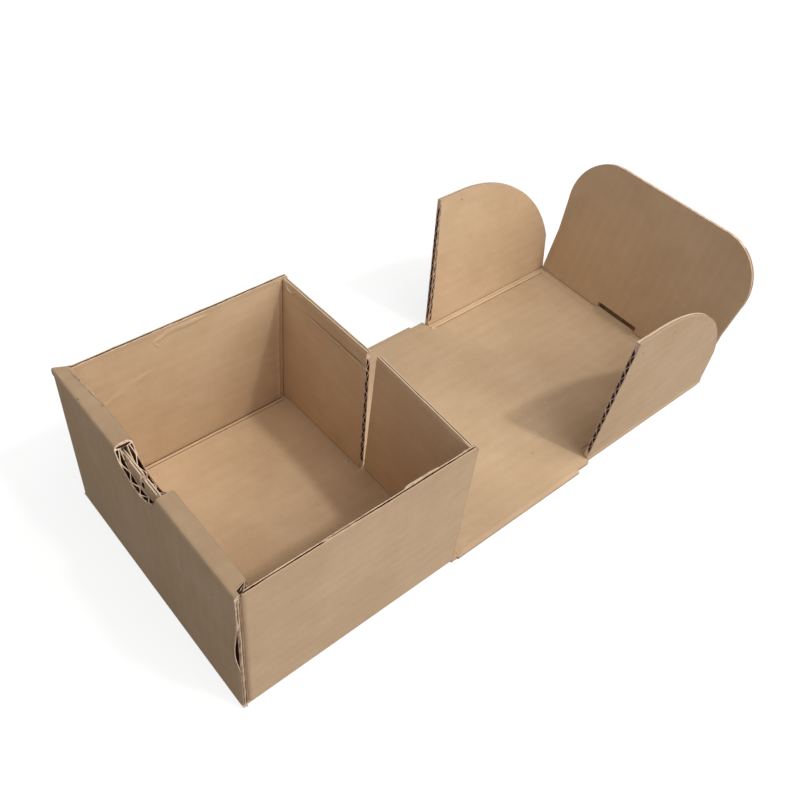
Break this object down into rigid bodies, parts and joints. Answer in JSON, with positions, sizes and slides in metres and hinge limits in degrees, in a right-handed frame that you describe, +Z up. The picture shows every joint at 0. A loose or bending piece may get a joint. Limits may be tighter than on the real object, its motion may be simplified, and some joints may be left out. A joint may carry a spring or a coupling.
{
  "type": "corrugated mailer box",
  "caption": "Open folded corrugated mailer box: roll-front tray with thumb notch, hinged back panel and lid with rounded side ears and a tuck flap.",
  "frame": {"origin": "centre of the tray on its underside, which rests on the table", "axes": "+Y from the tray's front wall back to the lid, +Z up out of the tray, +X towards the near side wall"},
  "size_m": [0.1363, 0.3189, 0.0812],
  "materials": {
    "board": "matte"
  },
  "bodies": {
    "tray": {"tray": "board"},
    "back_flap_far": {"back_flap_far": "board"},
    "back_flap_near": {"back_flap_near": "board"},
    "back_panel": {"back_panel": "board"},
    "lid": {"lid": "board"},
    "ear_far": {"ear_far": "board"},
    "ear_near": {"ear_near": "board"},
    "tuck_flap": {"tuck_flap": "board"}
  },
  "joints": [
    {"name": "back_flap_far_crease", "type": "hinge", "parent": "tray", "child": "back_flap_far", "pos_m": [-0.0635, 0.05475, 0.04], "axis": [0, 0, -1], "range_deg": [-89.2, 0.8]},
    {"name": "back_flap_near_crease", "type": "hinge", "parent": "tray", "child": "back_flap_near", "pos_m": [0.0635, 0.05475, 0.04], "axis": [0, 0, 1], "range_deg": [-87.6, 2.4]},
    {"name": "back_panel_crease", "type": "hinge", "parent": "tray", "child": "back_panel", "pos_m": [0, 0.05795, 0.0024], "axis": [1, 0, 0], "range_deg": [0, 90]},
    {"name": "lid_crease", "type": "hinge", "parent": "back_panel", "child": "lid", "pos_m": [0, 0.13995, 0.0024], "axis": [1, 0, 0], "range_deg": [0, 90]},
    {"name": "ear_far_crease", "type": "hinge", "parent": "lid", "child": "ear_far", "pos_m": [-0.0608, 0.19695, 0], "axis": [0, 1, 0], "range_deg": [-81.5, 8.5]},
    {"name": "ear_near_crease", "type": "hinge", "parent": "lid", "child": "ear_near", "pos_m": [0.0608, 0.19695, 0], "axis": [0, -1, 0], "range_deg": [-89, 1]},
    {"name": "tuck_crease", "type": "hinge", "parent": "lid", "child": "tuck_flap", "pos_m": [0, 0.24495, 0], "axis": [1, 0, 0], "range_deg": [-76, 14]}
  ]
}
